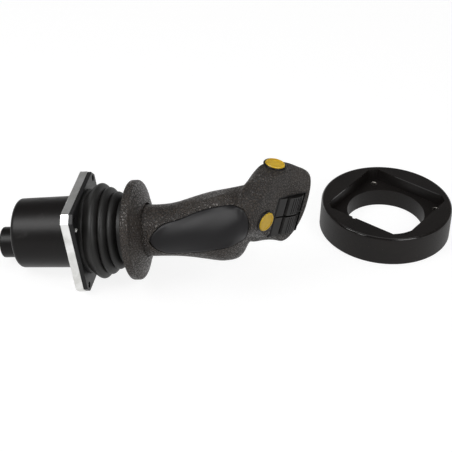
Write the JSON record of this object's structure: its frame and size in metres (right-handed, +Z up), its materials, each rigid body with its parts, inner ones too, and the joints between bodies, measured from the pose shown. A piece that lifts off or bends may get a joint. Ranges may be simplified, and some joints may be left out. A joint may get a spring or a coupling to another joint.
{
  "type": "hydraulic pilot joystick valve",
  "caption": "Pilot joystick with an ergonomic grip, push buttons, rockers and rubber bellows on a square flange over a round body, with a separate pocketed mounting ring.",
  "frame": {"origin": "centre of the bolt pattern on the flange's mounting face", "axes": "the joystick lies on its flange edge and body rim as on a bench: +Z is up off the bench, +X runs level from the body towards the grip (the lever axis rises from it by the lying angle), +Y is away from the operator's side of the grip"},
  "size_m": [0.3509, 0.2063, 0.1139],
  "materials": {
    "black_coat": "smooth satin black coating",
    "black_moulding": "satin black moulded plastic",
    "rubber": "soft black rubber with a slight sheen",
    "bright_aluminium": "bright machined aluminium",
    "bright_steel": "bright zinc-plated steel",
    "plain_steel": "plain machined steel",
    "spring_steel": "drawn spring wire",
    "board_green": "coated circuit board",
    "grained_grip": "warm grey-brown plastic with a fine leather grain",
    "pad_rubber": "smooth black soft pad with a satin sheen",
    "yellow_cap": "glossy yellow plastic",
    "ribbed_black": "satin black ribbed plastic",
    "gloss_black": "glossy black, lightly turned"
  },
  "bodies": {
    "base": {"body_housing": "black_coat", "outlet_stub": "black_moulding", "outlet_grommet": "rubber", "mounting_flange": "bright_aluminium", "top_plate": "black_coat", "plate_screws": "bright_steel", "bellows_foot": "rubber", "bellows": "rubber", "bearing_brackets": "plain_steel", "core_block": "plain_steel", "sensor_board": "board_green", "hall_sensors": "black_moulding", "centring_spring": "spring_steel"},
    "gimbal": {"gimbal_ring": "plain_steel", "gimbal_pins": "bright_steel"},
    "lever": {"lever_shaft": "plain_steel", "lever_pin": "bright_steel", "lever_magnet": "bright_steel", "base_disc": "grained_grip", "grip_clamp": "black_moulding", "grip_rear": "grained_grip", "grip_front": "grained_grip", "palm_pad": "pad_rubber", "thumb_bezel": "black_moulding", "thumb_switch": "black_moulding", "top_bezel": "black_moulding", "top_switch": "black_moulding", "rocker_tray": "black_moulding", "rocker_axle": "bright_steel", "rocker_switches": "black_moulding"},
    "thumb_button": {"thumb_button": "yellow_cap"},
    "top_button": {"top_button": "yellow_cap"},
    "rocker_left": {"rocker_left": "ribbed_black"},
    "rocker_right": {"rocker_right": "ribbed_black"},
    "ring": {"mounting_ring": "gloss_black", "ring_inserts": "bright_steel"}
  },
  "joints": [
    {"name": "tilt_fore_aft", "type": "hinge", "parent": "base", "child": "gimbal", "pos_m": [-0.00687, 0, -0.00133], "axis": [0.1901, 0, -0.9818], "range_deg": [-16, 16], "stiffness_Nm_per_rad": 8, "deforming": ["bellows", "centring_spring"]},
    {"name": "tilt_left_right", "type": "hinge", "parent": "gimbal", "child": "lever", "pos_m": [-0.00687, 0, -0.00133], "axis": [0, 1, 0], "range_deg": [-16, 16], "stiffness_Nm_per_rad": 8, "deforming": ["bellows", "centring_spring"]},
    {"name": "thumb_press", "type": "slide", "parent": "lever", "child": "thumb_button", "axis": [-0.128, -0.115, -0.9851], "range_m": [0, 0.002], "stiffness_N_per_m": 900},
    {"name": "top_press", "type": "slide", "parent": "lever", "child": "top_button", "axis": [-0.8281, 0.5604, 0.0129], "range_m": [0, 0.002], "stiffness_N_per_m": 900},
    {"name": "rocker_left_tip", "type": "hinge", "parent": "lever", "child": "rocker_left", "pos_m": [0.15788, 0.01687, 0.04146], "axis": [-0.1573, -0.2101, -0.9649], "range_deg": [-8, 8], "stiffness_Nm_per_rad": 0.5},
    {"name": "rocker_right_tip", "type": "hinge", "parent": "lever", "child": "rocker_right", "pos_m": [0.15533, 0.01347, 0.02582], "axis": [-0.1573, -0.2101, -0.9649], "range_deg": [-8, 8], "stiffness_Nm_per_rad": 0.5},
    {"name": "ring_lift", "type": "slide", "parent": "base", "child": "ring", "axis": [0, 0, 1], "range_m": [0, 0.06]}
  ]
}
